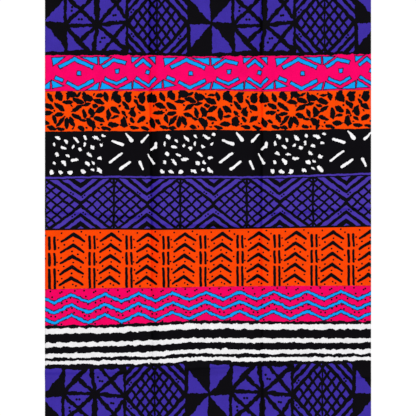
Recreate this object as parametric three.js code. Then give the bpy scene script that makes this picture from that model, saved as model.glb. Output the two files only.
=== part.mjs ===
// A length of printed cotton cloth, opened out and laid flat, with the creases that it was folded along.
import * as THREE from "three";

// Driving dimensions, in millimetres. The cloth lies on z = 0, with X along the print bands and Y across them.
const inch = 25.4;
const clothWidth = 36 * inch; // between the two cut ends: one yard off the bolt
const clothLength = 48 * inch; // between the two selvedges: the full width of the loom
const clothWall = 1.5;
const openStep = 46; // widest spacing of the grid lines where the cloth lies flat
const openHalf = { x: clothWidth / 2, y: clothLength / 2 };

// The two folds pressed in along Y. The fold line stays down on the table, and the cloth beside it springs up
// to lift over the distance roll, then settles flat again at the distance settle. inner is the side
// that faces the middle of the cloth.
const pressedFolds = [
  { name: "left", at: -160, innerSide: 1, lift: 3.8, roll: 26, settle: 120, outerLift: 1.5, outerRoll: 12 },
  { name: "right", at: 150, innerSide: -1, lift: 3.5, roll: 24, settle: 115, outerLift: 1.7, outerRoll: 13 },
];
const outerSettle = 62;

// How strongly the pressed folds still spring along their length, lowest place first.
const foldStrength = [
  { y: -openHalf.y, strength: 0.75 },
  { y: -330, strength: 1 },
  { y: -35, strength: 0.7 },
  { y: 260, strength: 1 },
  { y: openHalf.y, strength: 0.8 },
];

// Creases that cross the cloth as low soft ridges: where the ridge runs and how high it stands,
// from the left end to the right one. spread is half of the ridge's width.
const crossCreases = [
  {
    name: "middle fold",
    spread: 17,
    run: [
      { x: -openHalf.x, y: -12, rise: 1.3 },
      { x: -175, y: -26, rise: 1.7 },
      { x: -140, y: -48, rise: 1.2 },
      { x: 130, y: -52, rise: 1.4 },
      { x: 168, y: -16, rise: 1.7 },
      { x: openHalf.x, y: -2, rise: 1.2 },
    ],
  },
  {
    name: "lower wrinkle",
    spread: 24,
    run: [
      { x: -openHalf.x, y: -464, rise: 2.2 },
      { x: -160, y: -462, rise: 2.8 },
      { x: 20, y: -448, rise: 3.2 },
      { x: 165, y: -428, rise: 2.6 },
      { x: 330, y: -468, rise: 1.8 },
      { x: openHalf.x, y: -478, rise: 1 },
    ],
  },
  {
    name: "upper crease",
    spread: 15,
    run: [
      { x: -190, y: 350, rise: 0 },
      { x: -120, y: 353, rise: 0.9 },
      { x: 90, y: 354, rise: 1.2 },
      { x: 185, y: 351, rise: 0 },
    ],
  },
];

// Value of one column of a table at a place, eased from row to row and held past its two ends.
function fromTable(rows, place, at, column) {
  if (at <= rows[0][place]) return rows[0][column];
  for (let i = 1; i < rows.length; i++) {
    const [before, after] = [rows[i - 1], rows[i]];
    if (at > after[place]) continue;
    const share = THREE.MathUtils.smoothstep(at, before[place], after[place]);
    return THREE.MathUtils.lerp(before[column], after[column], share);
  }
  return rows[rows.length - 1][column];
}

// Profile beside a pressed fold: up by a quarter of a sine wave, then eased back down.
function foldProfile(distance, roll, settle) {
  if (distance <= roll) return Math.sin((Math.PI / 2) * (distance / roll));
  return 1 - THREE.MathUtils.smoothstep(distance, roll, settle);
}

// Height that one pressed fold lifts the cloth at a point.
function foldHeight(fold, x, y) {
  const strength = fromTable(foldStrength, "y", y, "strength");
  const inward = (x - fold.at) * fold.innerSide;
  if (inward >= 0) return strength * fold.lift * foldProfile(inward, fold.roll, fold.settle);
  return strength * fold.outerLift * foldProfile(-inward, fold.outerRoll, outerSettle);
}

// Height of one cross crease at a point: a raised cosine across the ridge line.
function creaseHeight(crease, x, y) {
  const offset = Math.abs(y - fromTable(crease.run, "x", x, "y"));
  if (offset >= crease.spread) return 0;
  return fromTable(crease.run, "x", x, "rise") * 0.5 * (1 + Math.cos((Math.PI * offset) / crease.spread));
}

// Height of the cloth's underside above the table.
function undersideHeight(x, y) {
  const folds = pressedFolds.map((fold) => foldHeight(fold, x, y));
  const creases = crossCreases.map((crease) => creaseHeight(crease, x, y));
  return [...folds, ...creases].reduce((sum, height) => sum + height, 0);
}

// Fills the gaps between grid lines, so that none is wider than step.
function fillLines(marks, step) {
  const sorted = [...new Set(marks)].sort((a, b) => a - b);
  const lines = [sorted[0]];
  for (let i = 1; i < sorted.length; i++) {
    const gap = sorted[i] - sorted[i - 1];
    const pieces = Math.ceil(gap / step);
    for (let k = 1; k <= pieces; k++) lines.push(sorted[i - 1] + (gap * k) / pieces);
  }
  return lines;
}

// Grid lines across X: close together where the cloth turns beside each pressed fold.
function columnLines() {
  const marks = [-openHalf.x, openHalf.x];
  for (const fold of pressedFolds) {
    const inner = [0, 1 / 3, 2 / 3, 1].map((share) => share * fold.roll);
    const innerReach = [...inner, (fold.roll + fold.settle) / 2, fold.settle];
    const outerReach = [fold.outerRoll / 2, fold.outerRoll, (fold.outerRoll + outerSettle) / 2, outerSettle];
    innerReach.forEach((reach) => marks.push(fold.at + fold.innerSide * reach));
    outerReach.forEach((reach) => marks.push(fold.at - fold.innerSide * reach));
  }
  return fillLines(marks, openStep);
}

// Grid lines across Y: close together over the zone that each cross crease wanders through.
function rowLines() {
  const marks = [-openHalf.y, openHalf.y];
  for (const crease of crossCreases) {
    const places = crease.run.map((row) => row.y);
    const low = Math.min(...places) - crease.spread;
    const high = Math.max(...places) + crease.spread;
    marks.push(...fillLines([low, high], crease.spread / 2));
  }
  return fillLines(marks, openStep);
}

// The panel is a box one wall thick, cut along the grid lines, whose two faces follow the creases.
function clothPanel() {
  const columns = columnLines();
  const rows = rowLines();
  const columnSpans = columns.length - 1;
  const rowSpans = rows.length - 1;
  const geometry = new THREE.BoxGeometry(1, 1, 1, columnSpans, rowSpans, 1);
  const position = geometry.getAttribute("position");
  for (let i = 0; i < position.count; i++) {
    const x = columns[Math.round((position.getX(i) + 0.5) * columnSpans)];
    const y = rows[Math.round((position.getY(i) + 0.5) * rowSpans)];
    const wall = position.getZ(i) > 0 ? clothWall : 0;
    position.setXYZ(i, x, y, undersideHeight(x, y) + wall);
  }
  geometry.computeVertexNormals();
  return geometry;
}

const printedCotton = new THREE.MeshStandardMaterial({ color: 0x3f2f9c, roughness: 0.72, metalness: 0 });

const cloth = new THREE.Group();
const panel = new THREE.Mesh(clothPanel(), printedCotton);
panel.name = "cloth_panel";
cloth.add(panel);

export default cloth;
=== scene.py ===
import math
import random

import bmesh
import bpy
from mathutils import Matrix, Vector, noise


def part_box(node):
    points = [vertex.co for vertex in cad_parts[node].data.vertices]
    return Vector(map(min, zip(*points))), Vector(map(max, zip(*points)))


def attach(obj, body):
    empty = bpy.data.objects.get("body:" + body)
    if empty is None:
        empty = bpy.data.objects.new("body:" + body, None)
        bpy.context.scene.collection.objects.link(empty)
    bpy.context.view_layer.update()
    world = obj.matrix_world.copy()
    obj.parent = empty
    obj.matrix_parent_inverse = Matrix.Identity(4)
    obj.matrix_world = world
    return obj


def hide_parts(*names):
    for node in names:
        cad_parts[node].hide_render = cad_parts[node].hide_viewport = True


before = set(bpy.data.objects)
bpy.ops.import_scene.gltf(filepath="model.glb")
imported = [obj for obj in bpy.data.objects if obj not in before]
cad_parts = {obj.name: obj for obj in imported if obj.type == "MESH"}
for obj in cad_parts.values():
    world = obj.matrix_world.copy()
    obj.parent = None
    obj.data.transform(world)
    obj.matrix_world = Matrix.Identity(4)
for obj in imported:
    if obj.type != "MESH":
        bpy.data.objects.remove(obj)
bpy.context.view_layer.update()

# Every size below is in millimetres: x runs along the print bands, and y across them. v is y on the flat
# cloth, before the print's drift is added. All three are measured from the middle of the cloth.
mm = 0.001
lowCorner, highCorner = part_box("cloth_panel")
halfWidth = (highCorner[0] - lowCorner[0]) / 2 / mm
halfLength = (highCorner[1] - lowCorner[1]) / 2 / mm

# the cloth's form

clothForm = {
    "thickness": 0.5,
    "openStep": 6.6,  # widest grid spacing where the cloth is open and flat
    "foldReach": (0, 1.5, 3, 5, 8, 12, 17, 22, 28, 35),  # grid lines on both sides of a pressed fold
    "creaseStep": 3.6,  # grid spacing where a crease crosses
    "slackRise": 0.35,  # how far the open cloth stands off the table in slow waves
    "slackLength": 130,
    "edgeRise": 1.1,  # extra lift of the four edges
    "edgeReach": 26,
    "edgeLength": 74,
    "leanReach": (40, 140),  # the grid leans with a fold in full this near it, and not at all past that
}

# A fold rises over its roll and settles again, more on its inner side than on its outer one.
# Each fold also sets how dark its painted shade is on the fold's line and on its inner side.
pressedFolds = [
    {"at": -160, "innerSide": 1, "lift": 3.8, "roll": 26, "settle": 120, "outerLift": 1.5, "outerRoll": 12,
     "outerSettle": 62, "creaseShade": 0.85, "beside": 0.3, "lean": "leftLean"},
    {"at": 150, "innerSide": -1, "lift": 3.5, "roll": 24, "settle": 115, "outerLift": 1.7, "outerRoll": 13,
     "outerSettle": 62, "creaseShade": 0.72, "beside": 0.12, "lean": "rightLean"},
]
# along the folds: how strongly they stand up, how much of the painted crease shade shows, and how far each
# strays
foldStrength = [
    {"y": -halfLength, "rise": 0.75, "shadeShown": 0.3, "leftLean": 5, "rightLean": 5},
    {"y": -330, "rise": 1, "shadeShown": 0.6, "leftLean": 1, "rightLean": 3.5},
    {"y": -35, "rise": 0.7, "shadeShown": 1, "leftLean": 0, "rightLean": 1.5},
    {"y": 260, "rise": 1, "shadeShown": 0.95, "leftLean": -3.6, "rightLean": 4},
    {"y": 380, "rise": 0.95, "shadeShown": 0.97, "leftLean": -6.2, "rightLean": 1.5},
    {"y": halfLength, "rise": 0.8, "shadeShown": 1, "leftLean": -6.2, "rightLean": 2.5},
]
# Each crease also sets how dark its painted shade is along its line.
crossCreases = {
    "middle fold": {
        "spread": 17, "creaseShade": 0.45,
        "run": [
            {"x": -halfWidth, "y": -12, "rise": 1.3},
            {"x": -175, "y": -26, "rise": 1.7},
            {"x": -140, "y": -48, "rise": 1.2},
            {"x": 130, "y": -52, "rise": 1.4},
            {"x": 168, "y": -16, "rise": 1.7},
            {"x": halfWidth, "y": -2, "rise": 1.2},
        ],
    },
    "lower wrinkle": {
        "spread": 24, "creaseShade": 0.2,
        "run": [
            {"x": -halfWidth, "y": -464, "rise": 2.2},
            {"x": -160, "y": -462, "rise": 2.8},
            {"x": 20, "y": -448, "rise": 3.2},
            {"x": 165, "y": -428, "rise": 2.6},
            {"x": 330, "y": -468, "rise": 1.8},
            {"x": halfWidth, "y": -478, "rise": 1},
        ],
    },
    "upper crease": {
        "spread": 15, "creaseShade": 0.25,
        "run": [
            {"x": -190, "y": 350, "rise": 0},
            {"x": -120, "y": 353, "rise": 0.9},
            {"x": 90, "y": 354, "rise": 1.2},
            {"x": 185, "y": 351, "rise": 0},
        ],
    },
}
# how far from its crest the painted shade of a pressed line holds fully, and where it is gone
creaseShadeReach = {
    "lineAt": 2.4,  # the line lies this far inside the fold's own place
    "line": (1.2, 5),
    "beside": (16, 32),  # the painted shade on a fold's inner side
    "crease": (1, 6),
}

# where each band's drawing begins, and the one above it ends
drawnFrom = {
    "strokes": 427.8, "leaves": 329.6, "spots": 217.4, "lattice": 91.7,
    "chevrons": -58.9, "zigzags": -221.6, "stripes": -322, "lowerStars": -433.1,
}
# The print was laid a little askew: how far each of those edges drifts up or down at seven places along it.
driftPlaces = (-440, -265, -160, -40, 150, 290, 434)
printDrift = [
    {"v": halfLength, "drift": (0, 0, 0, 0, 0, 0, 0)},
    {"v": drawnFrom["strokes"], "drift": (1.1, 0.8, 0, -2.2, -1.4, 0.8, 4.2)},
    {"v": drawnFrom["leaves"], "drift": (-1.7, 0, -0.8, 1.4, -2, -0.8, 2.8)},
    {"v": drawnFrom["spots"], "drift": (-4.2, -2.8, -3.4, 0.8, -1.4, 1.7, 4.2)},
    {"v": drawnFrom["lattice"], "drift": (-4.2, -0.8, -2.2, -1.4, -2, 2.2, 7)},
    {"v": drawnFrom["chevrons"], "drift": (-3.9, -2, -2.8, -1.7, 0.8, 3.1, 5.6)},
    {"v": drawnFrom["zigzags"], "drift": (-6.2, -2.5, -2, 0.3, 2.8, 3.4, 3.9)},
    {"v": drawnFrom["stripes"], "drift": (-9.3, -5.9, -1.1, 4.8, 4.2, 3.4, 3.4)},
    {"v": drawnFrom["lowerStars"], "drift": (-7.6, -5, -3.9, 3.9, 3.1, 3.9, 4.2)},
    {"v": -halfLength, "drift": (0, 0, 0, 0, 0, 0, 0)},
]

# The bands of the print, from the upper selvedge down to the lower one. Where a wavy edge strays past the
# beginning of the next drawing, its band gives way a little above it or ends a little below it.
selvedgeWidth = 9.6
bands = [
    {"finish": "selvedge", "bottom": halfLength - selvedgeWidth},
    {"finish": "upperStars", "bottom": drawnFrom["strokes"] + 2.6},
    {"finish": "strokes", "bottom": drawnFrom["leaves"]},
    {"finish": "leaves", "bottom": drawnFrom["spots"] - 1},
    {"finish": "spots", "bottom": drawnFrom["lattice"]},
    {"finish": "lattice", "bottom": drawnFrom["chevrons"]},
    {"finish": "chevrons", "bottom": drawnFrom["zigzags"]},
    {"finish": "zigzags", "bottom": drawnFrom["stripes"] - 2},
    {"finish": "stripes", "bottom": drawnFrom["lowerStars"] - 3},
    {"finish": "lowerStars", "bottom": -halfLength + selvedgeWidth},
    {"finish": "selvedge", "bottom": -halfLength},
]


def smoothShare(at, low, high):
    share = min(max((at - low) / (high - low), 0), 1)
    return share * share * (3 - 2 * share)


def fromTable(rows, place, at, column):
    # one column of a table, eased from row to row and held past its ends
    if at <= rows[0][place]:
        return rows[0][column]
    for before, after in zip(rows, rows[1:]):
        if at <= after[place]:
            share = smoothShare(at, before[place], after[place])
            return before[column] + (after[column] - before[column]) * share
    return rows[-1][column]


def throughPlaces(at, places, values):
    # smooth curve through the values, straight past the two ends
    last = len(places) - 1
    slopes = []
    for i in range(last + 1):
        a, b = max(i - 1, 0), min(i + 1, last)
        slopes.append((values[b] - values[a]) / (places[b] - places[a]))
    if at <= places[0]:
        return values[0] + slopes[0] * (at - places[0])
    for i in range(last):
        if at <= places[i + 1]:
            span = places[i + 1] - places[i]
            t = (at - places[i]) / span
            start = (2 * t**3 - 3 * t**2 + 1) * values[i] + (t**3 - 2 * t**2 + t) * span * slopes[i]
            end = (3 * t**2 - 2 * t**3) * values[i + 1] + (t**3 - t**2) * span * slopes[i + 1]
            return start + end
    return values[last] + slopes[last] * (at - places[last])


def driftAt(x, v):
    for upper, lower in zip(printDrift, printDrift[1:]):
        if v >= lower["v"]:
            share = (upper["v"] - v) / (upper["v"] - lower["v"])
            above = throughPlaces(x, driftPlaces, upper["drift"])
            below = throughPlaces(x, driftPlaces, lower["drift"])
            return above + (below - above) * share
    return 0


def foldProfile(distance, roll, settle):
    if distance <= roll:
        return math.sin(math.pi / 2 * distance / roll)
    return 1 - smoothShare(distance, roll, settle)


def foldPlace(fold, y):
    return fold["at"] + fromTable(foldStrength, "y", y, fold["lean"])


def foldHeight(fold, x, y):
    strength = fromTable(foldStrength, "y", y, "rise")
    inward = (x - foldPlace(fold, y)) * fold["innerSide"]
    if inward >= 0:
        return strength * fold["lift"] * foldProfile(inward, fold["roll"], fold["settle"])
    return strength * fold["outerLift"] * foldProfile(-inward, fold["outerRoll"], fold["outerSettle"])


def creaseHeight(crease, x, y):
    offset = abs(y - fromTable(crease["run"], "x", x, "y"))
    if offset >= crease["spread"]:
        return 0
    rise = fromTable(crease["run"], "x", x, "rise")
    return rise * 0.5 * (1 + math.cos(math.pi * offset / crease["spread"]))


def slackHeight(x, y):
    # slow waves of the open cloth, and the free edges standing up a little
    form = clothForm
    wave = noise.noise(Vector((x, y, 0)) / form["slackLength"])
    inset = min(halfWidth - abs(x), halfLength - abs(y))
    edge = 1 - smoothShare(inset, 0, form["edgeReach"])
    lip = 0.5 + noise.noise(Vector((x, y, 90)) / form["edgeLength"])
    return form["slackRise"] * max(wave, 0) + form["edgeRise"] * edge * max(lip, 0)


def undersideHeight(x, y):
    height = slackHeight(x, y)
    height += sum(foldHeight(fold, x, y) for fold in pressedFolds)
    height += sum(creaseHeight(crease, x, y) for crease in crossCreases.values())
    return height


def paintedCreaseShade(x, y):
    # how much painted shade darkens the colour along folds and creases, 0 to 1
    creaseShade = 0
    left = fromTable(foldStrength, "y", y, "shadeShown")
    for fold in pressedFolds:
        inward = (x - foldPlace(fold, y)) * fold["innerSide"]
        line = fold["creaseShade"] * (1 - smoothShare(abs(inward - creaseShadeReach["lineAt"]), *creaseShadeReach["line"]))
        beside = fold["beside"] * (1 - smoothShare(inward, *creaseShadeReach["beside"])) if inward > 0 else 0
        creaseShade = max(creaseShade, line * left, beside * left)
    for crease in crossCreases.values():
        offset = abs(y - fromTable(crease["run"], "x", x, "y"))
        shown = min(fromTable(crease["run"], "x", x, "rise"), 1)
        creaseShade = max(creaseShade, shown * crease["creaseShade"] * (1 - smoothShare(offset, *creaseShadeReach["crease"])))
    return creaseShade


def fillLines(marks, step):
    ordered = sorted(set(marks))
    lines = [ordered[0]]
    for before, after in zip(ordered, ordered[1:]):
        pieces = math.ceil((after - before) / step - 1e-6)
        lines += [before + (after - before) * k / pieces for k in range(1, pieces + 1)]
    return lines


def columnLines():
    marks = [-halfWidth, halfWidth]
    for fold in pressedFolds:
        for reach in clothForm["foldReach"]:
            marks += [fold["at"] - reach, fold["at"] + reach]
    return fillLines(marks, clothForm["openStep"])


def columnPlace(x, y):
    # a grid column's place at this height, leaning with the fold beside it
    for fold in pressedFolds:
        share = 1 - smoothShare(abs(x - fold["at"]), *clothForm["leanReach"])
        x += share * (foldPlace(fold, y) - fold["at"])
    return x


def rowLines():
    edges = [halfLength] + [band["bottom"] for band in bands]
    lines = fillLines(edges, clothForm["openStep"])
    for crease in crossCreases.values():
        places = [row["y"] for row in crease["run"]]
        low, high = min(places) - crease["spread"], max(places) + crease["spread"]
        inside = [y for y in lines if low < y < high] + [low, high]
        lines = sorted(set(lines) | set(fillLines(inside, clothForm["creaseStep"])))
    return lines


def bandAt(v):
    for index, band in enumerate(bands):
        if v >= band["bottom"]:
            return index
    return len(bands) - 1


def layGrid(bm):
    # the upper face on its own grid lines, so that its rows follow the band edges
    columns, rows = columnLines(), rowLines()
    bmesh.ops.create_grid(bm, x_segments=len(columns) - 1, y_segments=len(rows) - 1, size=1)
    for vert in bm.verts:
        column = round((vert.co.x + 1) / 2 * (len(columns) - 1))
        row = round((vert.co.y + 1) / 2 * (len(rows) - 1))
        vert.co = Vector((columnPlace(columns[column], rows[row]), rows[row], clothForm["thickness"]))
    for face in bm.faces:
        face.material_index = bandAt(face.calc_center_median().y)
        face.smooth = True
    print("grid:", len(columns), "columns,", len(rows), "rows")


def closeShell(bm):
    # the underside is the same sheet, turned over, and the cut edges close the rim
    copied = bmesh.ops.duplicate(bm, geom=bm.verts[:] + bm.edges[:] + bm.faces[:])
    underVerts = [item for item in copied["geom"] if isinstance(item, bmesh.types.BMVert)]
    underFaces = {item for item in copied["geom"] if isinstance(item, bmesh.types.BMFace)}
    bmesh.ops.translate(bm, vec=(0, 0, -clothForm["thickness"]), verts=underVerts)
    bmesh.ops.reverse_faces(bm, faces=list(underFaces))
    rims = [edge for edge in bm.edges if edge.is_boundary]
    for face in bmesh.ops.bridge_loops(bm, edges=rims)["faces"]:
        face.material_index = bandAt(face.calc_center_median().y)
    return underFaces


# the bake map: the upper face on the left, the underside beside it, then the cut edges in narrow strips
bakeLayout = {
    "margin": 0.002,
    "upperWidth": 0.79,
    "underFrom": 0.798, "underWidth": 0.17,
    "rimFrom": 0.974, "rimStep": 0.006, "rimWidth": 0.003, "rimMargin": 0.01,
}


def bakePlace(x, v, left, width, margin):
    across, along = (x + halfWidth) / 2 / halfWidth, (v + halfLength) / 2 / halfLength
    return (left + width * across, margin + (1 - 2 * margin) * along)


def bakeRimPlace(face, x, v, top):
    layout = bakeLayout
    across, along = (x + halfWidth) / 2 / halfWidth, (v + halfLength) / 2 / halfLength
    middle = face.calc_center_median()
    onSide = abs(abs(middle.x) - halfWidth) < 1
    strip = (middle.x + middle.y < 0) + (0 if onSide else 2)
    place = layout["rimFrom"] + layout["rimStep"] * strip + layout["rimWidth"] * top
    return (place, layout["rimMargin"] + (1 - 2 * layout["rimMargin"]) * (along if onSide else across))


def mapCloth(bm, upperFaces, underFaces):
    # "fabric" keeps the print's own place on the flat cloth, in metres
    layout = bakeLayout
    fabric = bm.loops.layers.uv.new("fabric")
    bake = bm.loops.layers.uv.new("OFBake")
    for face in bm.faces:
        for loop in face.loops:
            x, v, z = loop.vert.co
            loop[fabric].uv = (x * mm, v * mm)
            if face in upperFaces:
                place = bakePlace(x, v, layout["margin"], layout["upperWidth"], layout["margin"])
            elif face in underFaces:
                place = bakePlace(x, v, layout["underFrom"], layout["underWidth"], layout["margin"])
            else:
                place = bakeRimPlace(face, x, v, z > clothForm["thickness"] / 2)
            loop[bake].uv = place


def creaseCloth(bm):
    wrongSide = bm.verts.layers.float.new("wrongSide")
    shadeShown = bm.verts.layers.float.new("paintedCreaseShade")
    for vert in bm.verts:
        x, v, z = vert.co
        y = v + driftAt(x, v)
        vert[wrongSide] = 0 if z > clothForm["thickness"] / 2 else 1
        # painted shade along the folds and creases, kept on each vertex for the finishes
        vert[shadeShown] = paintedCreaseShade(x, y)
        vert.co = Vector((x, y, z + undersideHeight(x, y))) * mm
    bmesh.ops.recalc_face_normals(bm, faces=bm.faces)


def makeCloth():
    bm = bmesh.new()
    layGrid(bm)
    upperFaces = set(bm.faces)
    underFaces = closeShell(bm)
    mapCloth(bm, upperFaces, underFaces)
    creaseCloth(bm)
    mesh = bpy.data.meshes.new("waxPrintCloth")
    bm.to_mesh(mesh)
    bm.free()
    cloth = bpy.data.objects.new("waxPrintCloth", mesh)
    bpy.context.scene.collection.objects.link(cloth)
    print("cloth:", len(mesh.polygons), "faces")
    return cloth


# node helpers


def feed(tree, socket, value):
    if isinstance(value, bpy.types.NodeSocket):
        tree.links.new(value, socket)
    elif socket.type == "RGBA":
        socket.default_value = (*value, 1)
    else:
        socket.default_value = value


def maths(tree, operation, *values):
    node = tree.nodes.new("ShaderNodeMath")
    node.operation = operation
    for socket, value in zip(node.inputs, values):
        feed(tree, socket, value)
    return node.outputs[0]


def vectors(tree, operation, *values):
    node = tree.nodes.new("ShaderNodeVectorMath")
    node.operation = operation
    sockets = [node.inputs[0], node.inputs["Scale"]] if operation == "SCALE" else node.inputs
    for socket, value in zip(sockets, values):
        feed(tree, socket, value)
    return node.outputs["Value" if operation in ("LENGTH", "DOT_PRODUCT", "DISTANCE") else "Vector"]


def split(tree, vector):
    node = tree.nodes.new("ShaderNodeSeparateXYZ")
    feed(tree, node.inputs[0], vector)
    return node.outputs[0], node.outputs[1]


def combine(tree, x, y, z=0.0):
    node = tree.nodes.new("ShaderNodeCombineXYZ")
    for socket, value in zip(node.inputs, (x, y, z)):
        feed(tree, socket, value)
    return node.outputs[0]


def ramp(tree, value, low, high, toLow=0.0, toHigh=1.0):
    node = tree.nodes.new("ShaderNodeMapRange")
    node.interpolation_type = "SMOOTHSTEP"
    for socket, item in zip(node.inputs, (value, low, high, toLow, toHigh)):
        feed(tree, socket, item)
    return node.outputs[0]


def mix(tree, factor, under, over):
    node = tree.nodes.new("ShaderNodeMix")
    node.data_type = "RGBA"
    feed(tree, node.inputs[0], factor)
    feed(tree, node.inputs[6], under)
    feed(tree, node.inputs[7], over)
    return node.outputs[2]


def noiseAt(tree, vector, scale, detail=1.0, output=0, roughness=0.5):
    node = tree.nodes.new("ShaderNodeTexNoise")
    node.noise_dimensions = "2D"
    feed(tree, node.inputs["Vector"], vector)
    node.inputs["Scale"].default_value = scale
    node.inputs["Detail"].default_value = detail
    node.inputs["Roughness"].default_value = roughness
    return node.outputs[output]


def beyondStrip(tree, value, middle, half):
    # distance outside a straight strip
    away = maths(tree, "ABSOLUTE", maths(tree, "SUBTRACT", value, middle))
    return maths(tree, "SUBTRACT", away, half)


def nearest(tree, distances):
    # joins shapes as they come, so that only one distance waits at a time
    total = None
    for distance in distances:
        total = distance if total is None else maths(tree, "MINIMUM", total, distance)
    return total


socketKinds = {"float": "NodeSocketFloat", "vector": "NodeSocketVector", "colour": "NodeSocketColor"}


def newGroup(name, inputs, outputs):
    tree = bpy.data.node_groups.new(name, "ShaderNodeTree")
    for kind, labels in inputs:
        for label in labels:
            tree.interface.new_socket(name=label, in_out="INPUT", socket_type=socketKinds[kind])
    for kind, labels in outputs:
        for label in labels:
            tree.interface.new_socket(name=label, in_out="OUTPUT", socket_type=socketKinds[kind])
    inside = tree.nodes.new("NodeGroupInput")
    return tree, inside.outputs


def closeGroup(tree, results):
    ends = tree.nodes.new("NodeGroupOutput")
    for label, value in results.items():
        feed(tree, ends.inputs[label], value)


def placeGroup(tree, name, values):
    node = tree.nodes.new("ShaderNodeGroup")
    node.node_tree = bpy.data.node_groups[name]
    for label, value in values.items():
        feed(tree, node.inputs[label], value)
    return node.outputs


# shared print groups

farAway = 1000  # past any point of the cloth
handDrawn = {
    "detail": 3.0,
    "roughness": 0.62,
    "gain": 4.0,  # the noise moves a point by about a quarter of its own range
}


def buildHandDrawn():
    # moves a point about, so that drawn lines wander as a hand-cut block's do
    tree, given = newGroup("handDrawn", [("vector", ["Point"]), ("float", ["Reach", "Length"])],
                           [("vector", ["Point"])])
    scaled = vectors(tree, "SCALE", given["Point"], maths(tree, "DIVIDE", 1.0, given["Length"]))
    cloud = noiseAt(tree, scaled, 1.0, handDrawn["detail"], "Color", handDrawn["roughness"])
    centred = vectors(tree, "SUBTRACT", cloud, (0.5, 0.5, 0.5))
    reach = maths(tree, "MULTIPLY", given["Reach"], handDrawn["gain"])
    moved = vectors(tree, "ADD", given["Point"], vectors(tree, "SCALE", centred, reach))
    closeGroup(tree, {"Point": moved})


def buildStroke():
    # distance outside a straight stroke with round ends that tapers from one radius to the other
    tree, given = newGroup("inkStroke", [("vector", ["Point", "From", "Along"]),
                                         ("float", ["Start Radius", "End Radius"])],
                           [("float", ["Distance"])])
    offset = vectors(tree, "SUBTRACT", given["Point"], given["From"])
    run = vectors(tree, "DOT_PRODUCT", offset, given["Along"])
    whole = vectors(tree, "DOT_PRODUCT", given["Along"], given["Along"])
    share = maths(tree, "MINIMUM", maths(tree, "MAXIMUM", maths(tree, "DIVIDE", run, whole), 0.0), 1.0)
    beside = vectors(tree, "SUBTRACT", offset, vectors(tree, "SCALE", given["Along"], share))
    away = vectors(tree, "LENGTH", beside)
    taper = maths(tree, "SUBTRACT", given["End Radius"], given["Start Radius"])
    radius = maths(tree, "MULTIPLY_ADD", share, taper, given["Start Radius"])
    closeGroup(tree, {"Distance": maths(tree, "SUBTRACT", away, radius)})


def buildBar():
    # distance outside a bar with square ends; Along and Across are its own directions, one long each
    tree, given = newGroup("inkBar", [("vector", ["Point", "Middle", "Along", "Across"]),
                                      ("float", ["Half Length", "Half Width"])],
                           [("float", ["Distance"])])
    offset = vectors(tree, "SUBTRACT", given["Point"], given["Middle"])
    total = None
    for direction, half in (("Along", "Half Length"), ("Across", "Half Width")):
        away = maths(tree, "ABSOLUTE", vectors(tree, "DOT_PRODUCT", offset, given[direction]))
        beyond = maths(tree, "SUBTRACT", away, given[half])
        total = beyond if total is None else maths(tree, "MAXIMUM", total, beyond)
    closeGroup(tree, {"Distance": total})


def buildBlob():
    # distance outside a leaf or a spot, which comes again at every repeat
    tree, given = newGroup("inkBlob", [("vector", ["Point", "Centre", "Along", "Across"]),
                                       ("float", ["Repeat", "Half Width", "Roundness"])],
                           [("float", ["Distance"])])
    offset = vectors(tree, "SUBTRACT", given["Point"], given["Centre"])
    half = maths(tree, "MULTIPLY", given["Repeat"], 0.5)
    low = combine(tree, maths(tree, "MULTIPLY", half, -1.0), -farAway, -1.0)
    wrap = vectors(tree, "WRAP", offset, combine(tree, half, farAway, 1.0), low)
    along = vectors(tree, "DOT_PRODUCT", wrap, given["Along"])
    across = maths(tree, "ABSOLUTE", vectors(tree, "DOT_PRODUCT", wrap, given["Across"]))
    # Roundness 1 is a pointed leaf and 2 is an oval
    rounded = maths(tree, "POWER", across, given["Roundness"])
    value = maths(tree, "SUBTRACT", maths(tree, "MULTIPLY_ADD", along, along, rounded), 1.0)
    closeGroup(tree, {"Distance": maths(tree, "MULTIPLY", value, given["Half Width"])})


def buildWedge():
    # distance outside a triangle; each edge is (normal x, normal y, offset) in millimetres
    edges = ["First Edge", "Second Edge", "Third Edge"]
    tree, given = newGroup("inkWedge", [("vector", ["Point"] + edges)], [("float", ["Distance"])])
    flat = vectors(tree, "MULTIPLY_ADD", given["Point"], (1, 1, 0), (0, 0, -1))
    total = None
    for edge in edges:
        outside = vectors(tree, "DOT_PRODUCT", flat, given[edge])
        total = outside if total is None else maths(tree, "MAXIMUM", total, outside)
    closeGroup(tree, {"Distance": total})


inkEdge = {
    "threadScale": 0.45,
    "threadDetail": 2.0,
    "softness": 0.25,
}


def buildLayInk():
    # lays ink over a colour wherever the distance is below the ink's spread, with a ragged edge
    tree, given = newGroup("layInk", [("vector", ["Point"]), ("float", ["Distance", "Spread", "Ragged"]),
                                      ("colour", ["Under", "Ink"])],
                           [("colour", ["Colour"]), ("float", ["Mask"])])
    threads = noiseAt(tree, given["Point"], inkEdge["threadScale"], inkEdge["threadDetail"])
    fuzz = maths(tree, "SUBTRACT", threads, 0.5)
    frayed = maths(tree, "MULTIPLY_ADD", fuzz, given["Ragged"], given["Distance"])
    past = maths(tree, "SUBTRACT", frayed, given["Spread"])
    mask = ramp(tree, past, -inkEdge["softness"], inkEdge["softness"], 1.0, 0.0)
    closeGroup(tree, {"Colour": mix(tree, mask, given["Under"], given["Ink"]), "Mask": mask})


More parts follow.
